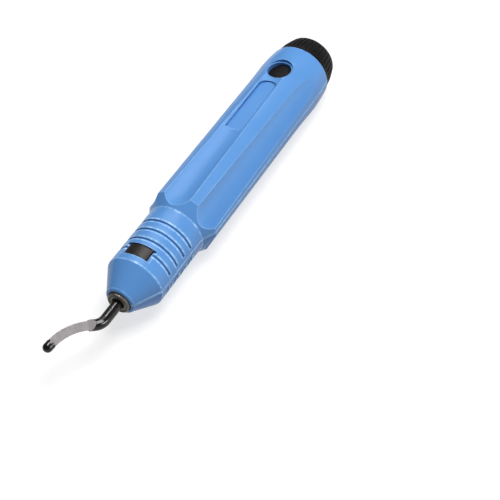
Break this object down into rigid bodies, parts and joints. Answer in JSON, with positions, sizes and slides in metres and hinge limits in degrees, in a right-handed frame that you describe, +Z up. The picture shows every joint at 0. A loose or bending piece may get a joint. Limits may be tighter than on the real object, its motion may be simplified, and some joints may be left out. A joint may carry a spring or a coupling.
{
  "type": "deburring tool",
  "caption": "Hand deburring tool: six-sided fluted plastic handle in two shells, swivelling S-shaped blade, release button at the nose and ribbed pull-off end cap.",
  "frame": {"origin": "on the handle's long axis, in the middle of the plain round band between the grip rings and the six-sided grip, 27 mm behind the handle's front face", "axes": "+X along the handle towards the end cap (the blade points to -X); +Z up, through the release button and the round window; the tool lies on the two lands below, with +Y across it"},
  "size_m": [0.1385, 0.022, 0.0212],
  "materials": {
    "blue_plastic": "moulded plastic, satin gloss",
    "black_plastic": "moulded plastic, fine matt texture",
    "dark_steel": "turned and blackened steel",
    "bright_steel": "ground steel",
    "blade_steel": "high-speed steel, black oxide, with ground grey faces on the cutting end",
    "black_rubber": "moulded rubber"
  },
  "bodies": {
    "handle": {"upper_shell": "blue_plastic", "lower_shell": "blue_plastic", "nose_bushing": "dark_steel", "blade_holder": "dark_steel", "retaining_ring": "bright_steel", "thrust_ball": "bright_steel", "button_spring": "bright_steel"},
    "swivel_blade": {"blade": "blade_steel"},
    "release": {"release_button": "black_plastic", "latch_plate": "bright_steel"},
    "cap": {"end_cap": "black_plastic", "cap_o_ring": "black_rubber"}
  },
  "joints": [
    {"name": "blade_spin", "type": "hinge", "parent": "handle", "child": "swivel_blade", "pos_m": [-0.02, 0, 0], "axis": [1, 0, 0], "continuous": true},
    {"name": "button_press", "type": "slide", "parent": "handle", "child": "release", "axis": [0, 0, -1], "range_m": [0, 0.0015], "stiffness_N_per_m": 400, "springref_m": -0.0008, "deforming": ["button_spring"]},
    {"name": "cap_pull", "type": "slide", "parent": "handle", "child": "cap", "axis": [1, 0, 0], "range_m": [0, 0.03]}
  ]
}
